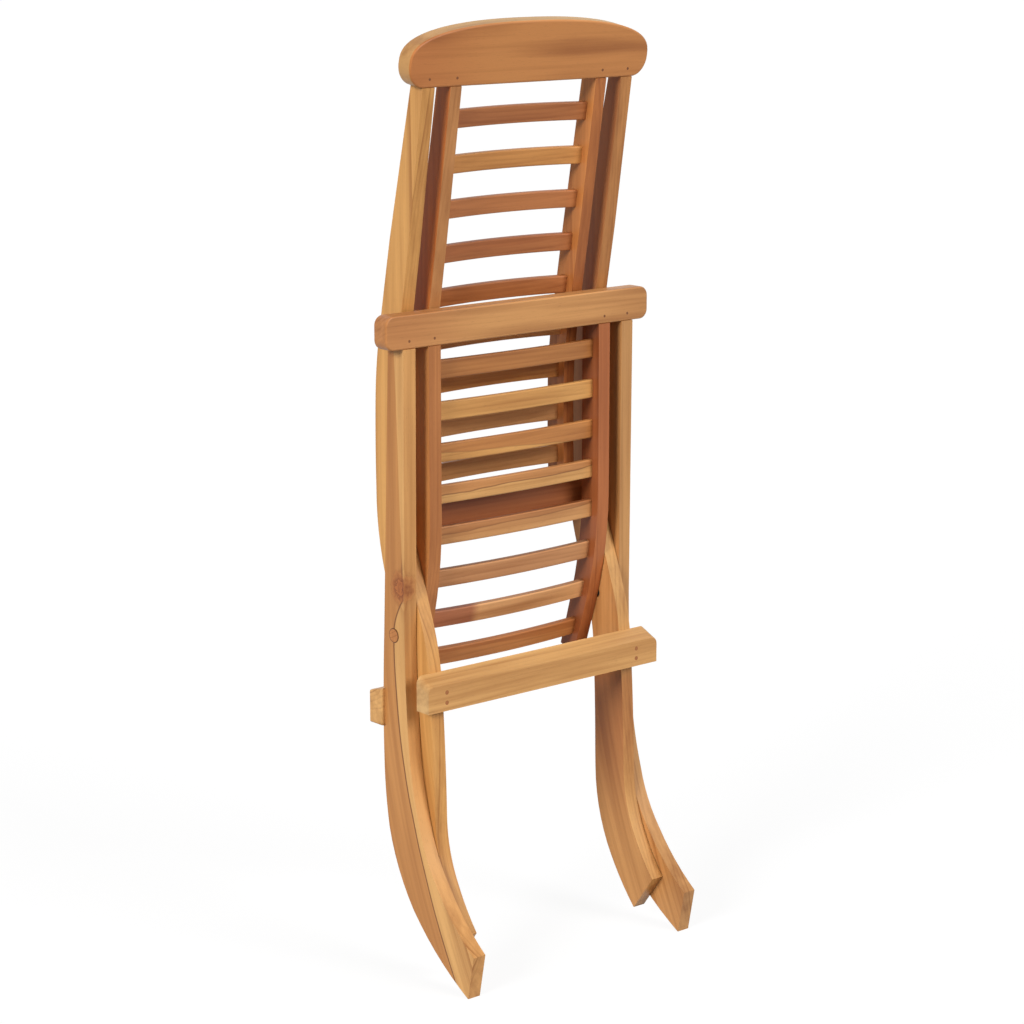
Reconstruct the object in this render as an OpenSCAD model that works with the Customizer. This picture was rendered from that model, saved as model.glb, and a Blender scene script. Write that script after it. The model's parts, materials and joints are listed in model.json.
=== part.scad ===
// Folding garden chair of oiled hardwood, shown folded and standing upright.
// Front is -Y, the viewer's right is +X, up is +Z, millimetres.
// A back frame and a seat frame cross on two side pivots and nest in each other when folded.

/* [Overall] */
// thickness of every leg across the chair
board = 21.5; // [18:0.5:26]
// width of the chair across the outer legs
seat_width = 430; // [380:1:520]
// sideways play between two neighbouring members
lane_gap = 1; // [0.8:0.1:3]
// relative angle between the frames when the chair is in use, degrees
open_angle = 114; // [100:1:125]

/* [Seat frame] */
// height of the seat rail's lower edge above the pivot, folded
rail_drop = 411.5; // [360:0.5:460]
// length of the seat front rail
rail_length = 490; // [450:1:560]
// height of the seat front rail
rail_height = 48; // [40:1:60]
// depth of the seat front rail from front to rear
rail_depth = 28; // [22:1:34]
// how far the seat rail's front face stands in front of the pivot
rail_face = 26.7; // [20:0.1:32]
// corner radius of the seat front rail's ends
rail_corner = 14; // [6:1:20]
// depth of the outer leg at the seat rail
leg_top_depth = 34.5; // [30:0.5:40]
// depth of the outer leg at the pivot
leg_pivot_depth = 46.5; // [40:0.5:56]
// depth of the outer leg in its bend
leg_bend_depth = 72; // [58:1:76]
// forward angle of the outer leg at its foot, degrees
leg_foot_angle = 57; // [50:1:62]
// how far the tip of the outer foot stands in front of the pivot, folded
leg_reach = 174.5; // [160:0.5:180]
// angle of the outer foot's sole from vertical when folded, degrees
leg_sole_angle = 11; // [6:1:16]
// depth of the seat stile at the rail
stile_depth = 36; // [30:1:40]
// backward angle of the seat stile at its lower end, degrees
stile_end_angle = 17.5; // [14:0.5:20]

/* [Back frame] */
// height of the crest rail's lower edge above the pivot
crest_drop = 770.5; // [700:0.5:820]
// height of the crest rail in the middle
crest_height = 87; // [80:0.5:110]
// overall width of the crest rail
crest_width = 437; // [400:1:480]
// thickness of the crest rail
crest_depth = 27; // [24:1:34]
// depth of the back leg where it enters the crest
back_top_depth = 26; // [24:1:30]
// depth of the back leg behind the seat
back_mid_depth = 44; // [40:1:48]
// depth of the back leg at the pivot
back_pivot_depth = 60; // [54:1:64]
// forward angle of the back leg at its foot, degrees
back_foot_angle = 42; // [36:1:46]
// how far the tip of the inner foot stands in front of the pivot
back_reach = 128.5; // [116:0.5:134]
// angle of the inner foot's sole from vertical when folded, degrees
back_sole_angle = 36; // [30:1:42]
// thickness of the inner back stiles across the chair
back_stile_board = 19.5; // [17:0.5:20]
// depth of the inner back stiles where they enter the crest
back_stile_top_depth = 30.5; // [28:0.5:34]
// depth of the inner back stiles behind the seat
back_stile_depth = 36; // [32:0.5:40]
// sideways play between the inner back stile and the seat stile
back_stile_gap = 5.3; // [3:0.1:8]
// height of the wide rail that closes the back panel
bottom_rail_height = 48; // [40:1:56]
// thickness of the wide rail that closes the back panel
bottom_rail_depth = 20; // [16:1:22]
// gap between the wide rail's ends and the back legs
bottom_rail_end_gap = 8; // [5:0.5:12]

/* [Slats] */
// number of slats in the back panel
back_slats = 9; // [9:1:9]
// number of slats in the seat panel
seat_slats = 8; // [8:1:8]
// height of a back slat
back_slat_height = 26; // [20:0.5:28]
// height of a seat slat
seat_slat_height = 27; // [22:1:30]
// thickness of every slat
slat_thickness = 10; // [8:0.5:12]
// how far a back slat's ends stand behind the front of its stiles
slat_setback = 12.8; // [8:0.1:16]
// how far the middle of a back slat stands behind its ends
back_slat_bow = 8; // [4:1:14]
// how far the middle of a seat slat hangs below its ends
seat_slat_bow = 6; // [3:1:8]
// distance from the crest to the middle of the first back slat
back_slat_start = 49.5; // [40:0.5:54]
// distance between the middles of two back slats
back_slat_pitch = 64.2; // [60:0.2:66]
// distance from the seat rail to the middle of the first seat slat
seat_slat_start = 37; // [34:0.5:46]
// distance between the middles of two seat slats
seat_slat_pitch = 59.8; // [56:0.2:62]
// Extra distance between the seat slats after the fifth, where the seat bends
seat_slat_spread = 4.2; // [0:0.1:6]
// length of the stub tenon on each end of a slat
slat_tenon = 8; // [6:0.5:10]

/* [Stretchers] */
// length of the front stretcher
stretcher_length = 438; // [430:1:470]
// how far the front stretcher sits off the middle, to the viewer's right
stretcher_offset = 4; // [0:0.5:6]
// height of the front stretcher
stretcher_height = 50; // [44:0.5:56]
// thickness of the front stretcher
stretcher_depth = 27; // [20:0.5:30]
// how far the front stretcher's back face stands in front of the pivot
stretcher_front = 50.5; // [46:0.5:54]
// how far the front stretcher's lower edge lies below the pivot
stretcher_low = 100; // [94:0.5:108]
// radius of the front stretcher's upper corners
stretcher_corner = 10; // [4:1:18]
// height of the rear stretcher
rear_stretcher_height = 56; // [46:1:60]
// thickness of the rear stretcher
rear_stretcher_depth = 30; // [26:1:34]
// how far the rear stretcher's upper edge lies below the pivot
rear_stretcher_drop = 81.5; // [78:0.5:88]
// how far each end of the rear stretcher stands proud of the legs
rear_overhang = 6; // [2:0.5:10]

/* [Fittings] */
// diameter of the pivot bolt
bolt_diameter = 6; // [5:0.5:8]
// diameter of the wooden plug that hides the bolt head
plug_diameter = 21.5; // [18:0.5:24]
// depth of the counterbore for head and plug
plug_depth = 9; // [8:0.5:11]
// how far the plug stands proud of the leg
plug_proud = 0.8; // [0.4:0.1:1.5]
// diameter of the counterbore for the pivot nut
nut_pocket = 14; // [13:0.5:18]
// depth of the counterbore for the pivot nut
nut_pocket_depth = 8; // [7:0.5:9]
// diameter of the tenon locking pins
pin_diameter = 4; // [3:0.5:5]
// diameter of the stretcher screw shanks
screw_diameter = 4.5; // [4:0.5:5]
// diameter of the stretcher screw heads
screw_head = 6.5; // [6:0.5:9]

/* [Fits] */
// radial running clearance of the pivot bolt in the back leg
bolt_clearance = 0.05; // [0.03:0.01:0.1]
// clearance around a tenon in its mortise
tenon_clearance = 0.1; // [0.05:0.05:0.2]
// clearance at the end of a tenon in its mortise
tenon_end_clearance = 0.5; // [0.3:0.1:1]
// clearance at the stop between seat leg and front stretcher
stop_clearance = 0.3; // [0.2:0.1:0.6]

/* [Hidden] */
$fn = 48;
arc_steps = 6;
outer_half = seat_width / 2;
back_half = outer_half - board - lane_gap;
stile_half = back_half - board - lane_gap;
inner_half = stile_half - board - back_stile_gap;
inner_face = inner_half - back_stile_board;
seat_inner_face = stile_half - board;
tenon_board = board / 2;
tenon_root = 4;
beyond = 1000;
rail_tenon = rail_height * 0.6;
crest_tenon = 34;

// Side profiles: start point, then [length, end angle, end depth] per arc, going down.
// The angle is from vertical, positive where the member runs forward on its way down.
leg_start = [-rail_face + leg_top_depth / 2, rail_drop, -1.2, leg_top_depth];
leg_arcs = [
    [rail_drop, -1.2, leg_pivot_depth],
    [75, 0.5, 51],
    [105, 4, 59],
    [100, 14, leg_bend_depth - 1],
    [110, 38, leg_bend_depth],
    [125, leg_foot_angle, leg_bend_depth - 10],
    [30, leg_foot_angle + 3, leg_bend_depth - 12]];
back_start = [-32, crest_drop, -11, back_top_depth];
back_arcs = [
    [222, -10.8, back_mid_depth - 2],
    [135, -10.2, back_mid_depth],
    [100, -1, back_mid_depth],
    [120, 2, back_mid_depth + 2],
    [114, 20, back_pivot_depth - 3],
    [94, 18, back_pivot_depth],
    [78, 4, back_pivot_depth],
    [165, 1, back_pivot_depth + 3],
    [30, 2, back_pivot_depth + 3],
    [105, 27, back_pivot_depth + 7],
    [96, back_foot_angle, back_pivot_depth + 6],
    [30, back_foot_angle + 3, back_pivot_depth + 4]];
back_stile_start = [-45 + back_stile_top_depth / 2, crest_drop, -9.7, back_stile_top_depth];
back_stile_arcs = [
    [222, -9.7, back_stile_depth],
    [135, -10, back_stile_depth],
    [100, -1, back_stile_depth],
    [120, 2, back_stile_depth],
    [44, 5, back_stile_depth]];
seat_stile_start = [-rail_face + stile_depth / 2, rail_drop, 0, stile_depth];
// The seat stile runs straight, then bends; its tail goes past the last slat.
stile_straight = 253;
stile_bend = 162;
even_slats = 5;
function seat_slat_at(i) =
    seat_slat_start + (i - 1) * seat_slat_pitch + max(0, i - even_slats) * seat_slat_spread;
last_slat_at = seat_slat_at(seat_slats);
slat_end_room = 30;
stile_tail = max(92, last_slat_at + slat_end_room - stile_straight - stile_bend);
seat_stile_arcs = [
    [stile_straight, 0, stile_depth],
    [stile_bend, -16, stile_depth - 2.5],
    [stile_tail, -stile_end_angle, stile_depth - 5]];

// Walks along arcs and returns [y, z, angle, depth] at every step.
function arc_of(arcs, i) = arcs[floor((i - 1) / arc_steps)];
function walk(start, arcs) =
    let (last = len(arcs) * arc_steps)
    [for (
        i = 0, y = start[0], z = start[1], a = start[2], w = start[3], a0 = start[2], w0 = start[3];
        i <= last;
        i = i + 1,
        k = i > last ? last : i,
        seg = arc_of(arcs, k),
        j = (k - 1) % arc_steps + 1,
        a0 = j == 1 ? a : a0,
        w0 = j == 1 ? w : w0,
        turn = (seg[1] - a0) / arc_steps,
        run = seg[0] / arc_steps,
        mid = a0 + turn * (j - 0.5),
        y = y - run * sin(mid),
        z = z - run * cos(mid),
        a = a0 + turn * j,
        w = w0 + (seg[2] - w0) * j / arc_steps)
        [y, z, a, w]];
function front_side(path) = [for (p = path) [p[0] - p[3] / 2 * cos(p[2]), p[1] + p[3] / 2 * sin(p[2])]];
function rear_side(path) = [for (p = path) [p[0] + p[3] / 2 * cos(p[2]), p[1] - p[3] / 2 * sin(p[2])]];
function reverse(list) = [for (i = [len(list) - 1:-1:0]) list[i]];
function outline(path) = concat(front_side(path), reverse(rear_side(path)));
// The outline carried on upwards past the member's upper end.
function raised_outline(path, up) =
    let (rise = [up * sin(path[0][2]), up * cos(path[0][2])])
    concat([front_side(path)[0] + rise], outline(path), [rear_side(path)[0] + rise]);
// Where a line through a point, at an angle, crosses one side of a member.
function crossing(side, point, angle) =
    let (normal = [-sin(angle), cos(angle)])
    [for (i = [0:len(side) - 2])
        let (near = (side[i] - point) * normal, far = (side[i + 1] - point) * normal)
        if (near > 0 && far <= 0) side[i] + (side[i + 1] - side[i]) * near / (near - far)][0];
// Point and angle on a centre line at a given distance from its start.
function arc_start_length(arcs, i) = i == 0 ? 0 : arc_start_length(arcs, i - 1) + arcs[i - 1][0];
function total_length(arcs) = arc_start_length(arcs, len(arcs));
function step_at(arcs, s) =
    let (i = max([for (k = [0:len(arcs) - 1]) arc_start_length(arcs, k) <= s ? k : 0]))
    (i + (s - arc_start_length(arcs, i)) / arcs[i][0]) * arc_steps;
function along(path, arcs, s) =
    let (t = step_at(arcs, s), k = min(floor(t), len(path) - 2), f = t - k)
    path[k] * (1 - f) + path[k + 1] * f;

leg_path = walk(leg_start, leg_arcs);
back_path = walk(back_start, back_arcs);
back_stile_path = walk(back_stile_start, back_stile_arcs);
seat_stile_path = walk(seat_stile_start, seat_stile_arcs);

// Soles: the tip of each foot on its front edge, then a straight cut down to the heel.
leg_tip = crossing(front_side(leg_path), [-leg_reach, 0], -90);
leg_sole_turn = leg_sole_angle - 90;
back_tip = crossing(front_side(back_path), [-back_reach, 0], -90);
back_sole_turn = back_sole_angle - 90;

// Placement: the folded chair stands on its outer heels, centred front to rear.
leg_heel = crossing(rear_side(leg_path), leg_tip, leg_sole_turn);
rear_extent = max([for (p = rear_side(back_path)) p[0]]);
pivot_z = -leg_heel[1];
pivot_y = -(rear_extent + leg_tip[0]) / 2;

// Rear face of the outer leg behind which the rear stretcher sits.
rear_seat_y = 21.5;
// The rear stretcher makes room for the last slat when the slats reach further down.
slat_foot_room = 8;
last_slat_z = along(seat_stile_path, seat_stile_arcs, last_slat_at)[1];
rear_drop = max(rear_stretcher_drop, seat_slat_height / 2 + slat_foot_room - last_slat_z);
rear_top_slope = 15;
// Stop plane: the outer leg's front edge turned into the use position.
leg_front_a = front_side(leg_path)[0];
leg_front_b = front_side(leg_path)[arc_steps];
leg_front_lean = atan((leg_front_b[0] - leg_front_a[0]) / (leg_front_a[1] - leg_front_b[1]));
leg_front_pivot = -leg_front_b[0];
stop_slope = open_angle - 90 + leg_front_lean;

module placed() {
    translate([0, pivot_y, pivot_z]) children();
}

// Extrudes a side profile (y, z) from x0 to x1.
module side_board(x0, x1) {
    translate([x0, 0, 0]) rotate([90, 0, 90]) linear_extrude(x1 - x0) children();
}

// Puts children in the frame of a point on a side profile: x across, y rearward, z up the member.
module on_path(p) {
    translate([0, p[0], p[1]]) rotate([-p[2], 0, 0]) children();
}

// A bar with its middle at the origin.
module bar(size) {
    cube(size, center = true);
}

module cross_pin(x, length, diameter) {
    translate([x, 0, 0]) rotate([90, 0, 0]) cylinder(h = length, d = diameter, center = true);
}

// Mortise and tenon in the frame of a member's upper end, rooted in the member below it.
module upper_tenon(x, long, depth, grow, end_grow) {
    translate([x, 0, (long + end_grow - tenon_root) / 2])
        bar([tenon_board + 2 * grow, depth + 2 * grow, long + end_grow + tenon_root]);
}

function lane(side, half, thick) = side * (half - thick / 2);

/* ---- seat frame ---- */
module rail_frame() {
    translate([0, -rail_face + rail_depth / 2, rail_drop]) children();
}

// What is sawn off a foot in front of its sole.
module sole_cut(tip, turn) {
    translate(tip) rotate(turn) translate([-beyond / 2, -beyond]) square([beyond, beyond]);
}

// The part of a profile below the seat rail's lower face.
module below_rail() {
    intersection() {
        children();
        translate([-seat_width, -2 * rail_drop]) square([2 * seat_width, 3 * rail_drop]);
    }
}

module seat_front_rail() {
    color("peru") placed() difference() {
        rail_frame() rotate([90, 0, 0]) linear_extrude(rail_depth, center = true)
            translate([0, rail_height / 2]) rounded_bar(rail_length, rail_height, rail_corner);
        for (side = [-1, 1]) {
            rail_frame() upper_tenon(lane(side, outer_half, board), rail_tenon, 16,
                tenon_clearance, tenon_end_clearance);
            rail_frame() upper_tenon(lane(side, stile_half, board), rail_tenon, 16,
                tenon_clearance, tenon_end_clearance);
        }
        rail_pin_shapes();
    }
}

module rounded_bar(length, height, corner) {
    union() {
        square([length - 2 * corner, height], center = true);
        square([length, height - 2 * corner], center = true);
        for (sx = [-1, 1], sy = [-1, 1])
            translate([sx * (length / 2 - corner), sy * (height / 2 - corner)]) circle(r = corner);
    }
}

module rail_pin_shapes() {
    for (side = [-1, 1], half = [outer_half, stile_half])
        rail_frame() translate([0, -1.5, 11])
            cross_pin(lane(side, half, board), rail_depth - 3, pin_diameter);
}

module rail_pins() {
    color("saddlebrown") placed() rail_pin_shapes();
}

module leg_profile() {
    difference() {
        below_rail() polygon(raised_outline(leg_path, 3));
        sole_cut(leg_tip, leg_sole_turn);
        translate([rear_seat_y, -rear_drop - rear_stretcher_height])
            square([40, rear_stretcher_height]);
    }
}

module seat_leg(side) {
    middle = lane(side, outer_half, board);
    color("burlywood") placed() difference() {
        union() {
            side_board(middle - board / 2, middle + board / 2) leg_profile();
            rail_frame() upper_tenon(middle, rail_tenon, 16, 0, 0);
        }
        rail_pin_shapes();
        rear_screw_shapes();
        translate([side * (outer_half - plug_depth), 0, 0]) rotate([0, 90 * side, 0])
            cylinder(h = plug_depth + 5, d = plug_diameter);
        translate([middle, 0, 0]) rotate([0, 90, 0])
            cylinder(h = board + 2, d = bolt_diameter, center = true);
    }
}

module seat_leg_left() {
    seat_leg(-1);
}

module seat_leg_right() {
    seat_leg(1);
}

module seat_stile(side) {
    middle = lane(side, stile_half, board);
    color("sienna") placed() difference() {
        union() {
            side_board(middle - board / 2, middle + board / 2) difference() {
                polygon(outline(seat_stile_path));
                rear_top_cut();
            }
            rail_frame() upper_tenon(middle, rail_tenon, 16, 0, 0);
        }
        rail_pin_shapes();
        for (i = [1:seat_slats]) seat_slat_tenons(i, tenon_clearance, tenon_end_clearance);
        stile_screw_shapes();
    }
}

module rear_top_cut() {
    translate([rear_seat_y, -rear_drop]) rotate(-rear_top_slope)
        translate([-beyond / 2, -beyond]) square([beyond, beyond]);
}

module seat_stile_left() {
    seat_stile(-1);
}

module seat_stile_right() {
    seat_stile(1);
}

function seat_slat_point(i) =
    along(seat_stile_path, seat_stile_arcs, seat_slat_at(i));
function back_slat_point(i) =
    along(back_stile_path, back_stile_arcs, back_slat_start + (i - 1) * back_slat_pitch);
function bow_radius(span, bow) = (span * span / 4 + bow * bow) / (2 * bow);

// A slat between two inner faces, bowed towards dir * y at its middle.
module bowed_slat(face, bow, dir, height) {
    radius = bow_radius(2 * face, bow);
    linear_extrude(height, center = true) intersection() {
        translate([0, -dir * (radius - bow)]) difference() {
            circle(r = radius + slat_thickness / 2, $fn = 360);
            circle(r = radius - slat_thickness / 2, $fn = 360);
        }
        translate([0, dir * (bow / 2)]) square([2 * face, 2 * bow + 6 * slat_thickness], center = true);
    }
}

module slat_tenons(face, height, grow, end_grow) {
    for (side = [-1, 1])
        translate([side * (face - 2 + (slat_tenon + 2 + end_grow) / 2), 0, 0])
            bar([slat_tenon + 2 + end_grow, slat_thickness * 0.6 + 2 * grow, height - 8 + 2 * grow]);
}

module seat_slat_tenons(i, grow, end_grow) {
    on_path(seat_slat_point(i)) slat_tenons(seat_inner_face, seat_slat_height, grow, end_grow);
}

// Back slats and the wide rail are set from the front of the stiles.
module behind_front(p, setback) {
    on_path(p) translate([0, setback - p[3] / 2, 0]) children();
}

module back_slat_frame(i) {
    behind_front(back_slat_point(i), slat_setback + slat_thickness / 2) children();
}

module back_slat_tenons(i, grow, end_grow) {
    back_slat_frame(i) slat_tenons(inner_face, back_slat_height, grow, end_grow);
}

module seat_slat(i) {
    color("chocolate") placed() union() {
        on_path(seat_slat_point(i)) bowed_slat(seat_inner_face, seat_slat_bow, -1, seat_slat_height);
        seat_slat_tenons(i, 0, 0);
    }
}

module seat_slat_1() {
    seat_slat(1);
}

module seat_slat_2() {
    seat_slat(2);
}

module seat_slat_3() {
    seat_slat(3);
}

module seat_slat_4() {
    seat_slat(4);
}

module seat_slat_5() {
    seat_slat(5);
}

module seat_slat_6() {
    seat_slat(6);
}

module seat_slat_7() {
    seat_slat(7);
}

module seat_slat_8() {
    seat_slat(8);
}

// Rear stretcher: its top slopes down to the rear, square to the seat stile's bearing.
rear_back_drop = rear_stretcher_depth * tan(rear_top_slope);

module rear_stretcher_profile() {
    polygon([
        [rear_seat_y, -rear_drop],
        [rear_seat_y + rear_stretcher_depth, -rear_drop - rear_back_drop],
        [rear_seat_y + rear_stretcher_depth, -rear_drop - rear_stretcher_height],
        [rear_seat_y, -rear_drop - rear_stretcher_height]]);
}

module rear_stretcher() {
    color("burlywood") placed() difference() {
        side_board(-outer_half - rear_overhang, outer_half + rear_overhang) rear_stretcher_profile();
        rear_screw_shapes();
        stile_screw_shapes();
    }
}

// One countersunk screw along +y, its head's face at y = 0.
module screw(length) {
    rotate([-90, 0, 0]) union() {
        cylinder(h = 4, d1 = screw_head, d2 = screw_diameter);
        cylinder(h = length, d = screw_diameter);
    }
}

module rear_screw_shapes() {
    for (side = [-1, 1], drop = [26, 42])
        translate([lane(side, outer_half, board), rear_seat_y + rear_stretcher_depth,
            -rear_drop - drop]) rotate([0, 0, 180]) screw(rear_stretcher_depth + 22);
}

module stile_screw_shapes() {
    for (side = [-1, 1])
        translate([lane(side, stile_half, board), rear_seat_y + 14,
            -rear_drop - rear_stretcher_height])
            rotate([90, 0, 0]) screw(rear_stretcher_height + 16);
}

module rear_stretcher_screws() {
    color("silver") placed() {
        rear_screw_shapes();
        stile_screw_shapes();
    }
}

/* ---- back frame ---- */
crest_lean = 9.5;

module crest_frame() {
    translate([0, back_start[0], crest_drop]) rotate([crest_lean, 0, 0]) children();
}

// Crest outline: flat foot, rounded lower corners, shoulders as a superellipse.
crest_half = crest_width / 2;
crest_wide_z = 29.5;
crest_rise = crest_height - crest_wide_z;
crest_foot = crest_half - 27;
function crest_top(t) =
    [crest_half * pow(abs(cos(t)), 0.85) * sign(cos(t)), crest_wide_z + crest_rise * pow(sin(t), 0.7)];
function crest_corner(t) = [crest_foot + (crest_half - crest_foot) * sin(t), crest_wide_z * (1 - cos(t))];
crest_corner_points = [for (t = [0:10:80]) crest_corner(t)];
crest_points = concat(
    crest_corner_points,
    [for (t = [0:4:180]) crest_top(t)],
    [for (p = reverse(crest_corner_points)) [-p[0], p[1]]]);

module crest_rail() {
    color("peru") placed() difference() {
        crest_frame() rotate([90, 0, 0]) linear_extrude(crest_depth, center = true) polygon(crest_points);
        for (side = [-1, 1]) {
            crest_frame() upper_tenon(lane(side, back_half, board), crest_tenon, 14,
                tenon_clearance, tenon_end_clearance);
            crest_frame() upper_tenon(lane(side, inner_half, back_stile_board), crest_tenon, 14,
                tenon_clearance, tenon_end_clearance);
        }
        crest_pin_shapes();
    }
}

module crest_pin_shapes() {
    for (side = [-1, 1], x = [lane(1, back_half, board), lane(1, inner_half, back_stile_board)])
        crest_frame() translate([0, -1.5, 12]) cross_pin(side * x, crest_depth - 3, pin_diameter);
}

module crest_pins() {
    color("saddlebrown") placed() crest_pin_shapes();
}

// The part of a member below the crest's lower face.
module below_crest() {
    crest_frame() translate([0, 0, -beyond / 2]) bar([beyond, beyond, beyond]);
}

module back_leg_profile() {
    difference() {
        polygon(raised_outline(back_path, 9));
        sole_cut(back_tip, back_sole_turn);
        translate([-stretcher_front - 40, -stretcher_low]) square([40, stretcher_height]);
    }
}

module back_leg(side) {
    middle = lane(side, back_half, board);
    color("burlywood") placed() difference() {
        union() {
            intersection() {
                side_board(middle - board / 2, middle + board / 2) back_leg_profile();
                union() {
                    below_crest();
                    translate([0, 0, -crest_drop]) bar([beyond, beyond, 2 * crest_drop]);
                }
            }
            crest_frame() upper_tenon(middle, crest_tenon, 14, 0, 0);
        }
        crest_pin_shapes();
        front_screw_shapes();
        dowel_shapes(tenon_end_clearance);
        rotate([0, 90, 0])
            cylinder(h = 2 * seat_width, d = bolt_diameter + 2 * bolt_clearance, center = true);
        translate([side * (back_half - board - 5), 0, 0]) rotate([0, 90 * side, 0])
            cylinder(h = nut_pocket_depth + 5, d = nut_pocket);
    }
}

module back_leg_left() {
    back_leg(-1);
}

module back_leg_right() {
    back_leg(1);
}

module back_stile(side) {
    middle = lane(side, inner_half, back_stile_board);
    color("burlywood") placed() difference() {
        union() {
            intersection() {
                side_board(middle - back_stile_board / 2, middle + back_stile_board / 2)
                    polygon(raised_outline(back_stile_path, 9));
                below_crest();
                above_bottom_rail();
            }
            crest_frame() upper_tenon(middle, crest_tenon, 14, 0, 0);
            bottom_rail_frame() translate([middle, 0, -10])
                bar([tenon_board, bottom_rail_depth * 0.5, 22]);
        }
        crest_pin_shapes();
        for (i = [1:back_slats]) back_slat_tenons(i, tenon_clearance, tenon_end_clearance);
    }
}

module back_stile_left() {
    back_stile(-1);
}

module back_stile_right() {
    back_stile(1);
}

module back_slat(i) {
    color("chocolate") placed() union() {
        back_slat_frame(i) bowed_slat(inner_face, back_slat_bow, 1, back_slat_height);
        back_slat_tenons(i, 0, 0);
    }
}

module back_slat_1() {
    back_slat(1);
}

module back_slat_2() {
    back_slat(2);
}

module back_slat_3() {
    back_slat(3);
}

module back_slat_4() {
    back_slat(4);
}

module back_slat_5() {
    back_slat(5);
}

module back_slat_6() {
    back_slat(6);
}

module back_slat_7() {
    back_slat(7);
}

module back_slat_8() {
    back_slat(8);
}

module back_slat_9() {
    back_slat(9);
}

// Wide rail at the lower end of the back panel: its frame's origin is the middle of its top face.
bottom_rail_point = along(back_stile_path, back_stile_arcs, total_length(back_stile_arcs) - 16);
bottom_rail_half = back_half - board - bottom_rail_end_gap;
bottom_rail_setback = 14.3;

module bottom_rail_frame() {
    behind_front(bottom_rail_point, bottom_rail_setback) children();
}

module above_bottom_rail() {
    bottom_rail_frame() translate([0, 0, beyond / 2]) bar([beyond, beyond, beyond]);
}

module back_bottom_rail() {
    color("chocolate") placed() difference() {
        bottom_rail_frame() translate([0, 0, -bottom_rail_height / 2])
            bar([2 * bottom_rail_half, bottom_rail_depth, bottom_rail_height]);
        for (side = [-1, 1])
            bottom_rail_frame() translate([lane(side, inner_half, back_stile_board), 0, -10])
                bar([tenon_board + 2 * tenon_clearance, bottom_rail_depth * 0.5 + 2 * tenon_clearance, 23]);
        dowel_shapes(tenon_end_clearance);
    }
}

module dowel_shapes(end_grow) {
    for (side = [-1, 1])
        bottom_rail_frame() translate([side * (back_half - board - bottom_rail_end_gap / 2), 0,
            -bottom_rail_height * 0.55]) rotate([0, 90, 0])
            cylinder(h = 32 + bottom_rail_end_gap + 2 * end_grow - 12, d = 9, center = true);
}

module back_rail_dowels() {
    color("tan") placed() dowel_shapes(0);
}

// Front stretcher: its sloped top is where the seat legs come to rest in use.
stretcher_y1 = -stretcher_front - stretcher_depth;
stretcher_back_z = -leg_front_pivot / cos(stop_slope) - stretcher_front * tan(stop_slope) - stop_clearance;
stretcher_front_z = stretcher_back_z - stretcher_depth * tan(stop_slope);

module front_stretcher_profile() {
    polygon([
        [-stretcher_front, stretcher_back_z],
        [stretcher_y1, stretcher_front_z],
        [stretcher_y1, -stretcher_low],
        [-stretcher_front, -stretcher_low]]);
}

module front_stretcher() {
    color("burlywood") placed() difference() {
        intersection() {
            side_board(stretcher_offset - stretcher_length / 2, stretcher_offset + stretcher_length / 2)
                front_stretcher_profile();
            front_stretcher_outline();
        }
        front_screw_shapes();
    }
}

// Looking down the sloped top: square below, the two upper corners rounded.
module front_stretcher_outline() {
    straight = stretcher_length - 2 * stretcher_corner;
    translate([stretcher_offset, -stretcher_front, stretcher_back_z + stop_clearance])
        rotate([90 + stop_slope, 0, 0]) linear_extrude(2 * seat_width, center = true) union() {
            translate([-stretcher_length / 2, -beyond - stretcher_corner]) square([stretcher_length, beyond]);
            translate([-straight / 2, -beyond / 2]) square([straight, beyond]);
            for (side = [-1, 1])
                translate([side * straight / 2, -stretcher_corner]) circle(r = stretcher_corner);
        }
}

module front_screw_shapes() {
    for (side = [-1, 1], up = [12, 27])
        translate([lane(side, back_half, board), stretcher_y1, -stretcher_low + up])
            screw(stretcher_depth + 26);
}

module front_stretcher_screws() {
    color("silver") placed() front_screw_shapes();
}

/* ---- pivots ---- */
head_thickness = 3.2;
head_diameter = 16;
washer_thickness = 1;
washer_diameter = 12.5;
spacer_diameter = 24;
nut_thickness = 5;
nut_corners = 11.5;
bolt_inner = outer_half - 2 * board - lane_gap + nut_pocket_depth - washer_thickness - nut_thickness;

module on_side(side, x) {
    translate([side * x, 0, 0]) rotate([0, 90 * side, 0]) children();
}

module pivot_bolts() {
    color("silver") placed() for (side = [-1, 1]) union() {
        on_side(side, outer_half - plug_depth) cylinder(h = head_thickness, d = head_diameter);
        on_side(side, bolt_inner) cylinder(h = outer_half - plug_depth - bolt_inner + 1, d = bolt_diameter);
    }
}

module pivot_plugs() {
    color("tan") placed() for (side = [-1, 1])
        on_side(side, outer_half - plug_depth + head_thickness)
            cylinder(h = plug_depth - head_thickness + plug_proud, d = plug_diameter);
}

module pivot_spacer_washers() {
    color("silver") placed() for (side = [-1, 1])
        on_side(side, back_half) difference() {
            cylinder(h = lane_gap, d = spacer_diameter);
            translate([0, 0, -1]) cylinder(h = lane_gap + 2, d = bolt_diameter);
        }
}

module pivot_nut_washers() {
    color("silver") placed() for (side = [-1, 1])
        on_side(side, back_half - board + nut_pocket_depth - washer_thickness) difference() {
            cylinder(h = washer_thickness, d = washer_diameter);
            translate([0, 0, -1]) cylinder(h = washer_thickness + 2, d = bolt_diameter);
        }
}

module pivot_nuts() {
    color("silver") placed() for (side = [-1, 1])
        on_side(side, bolt_inner) difference() {
            cylinder(h = nut_thickness, d = nut_corners, $fn = 6);
            translate([0, 0, -1]) cylinder(h = nut_thickness + 2, d = bolt_diameter);
        }
}

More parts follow.
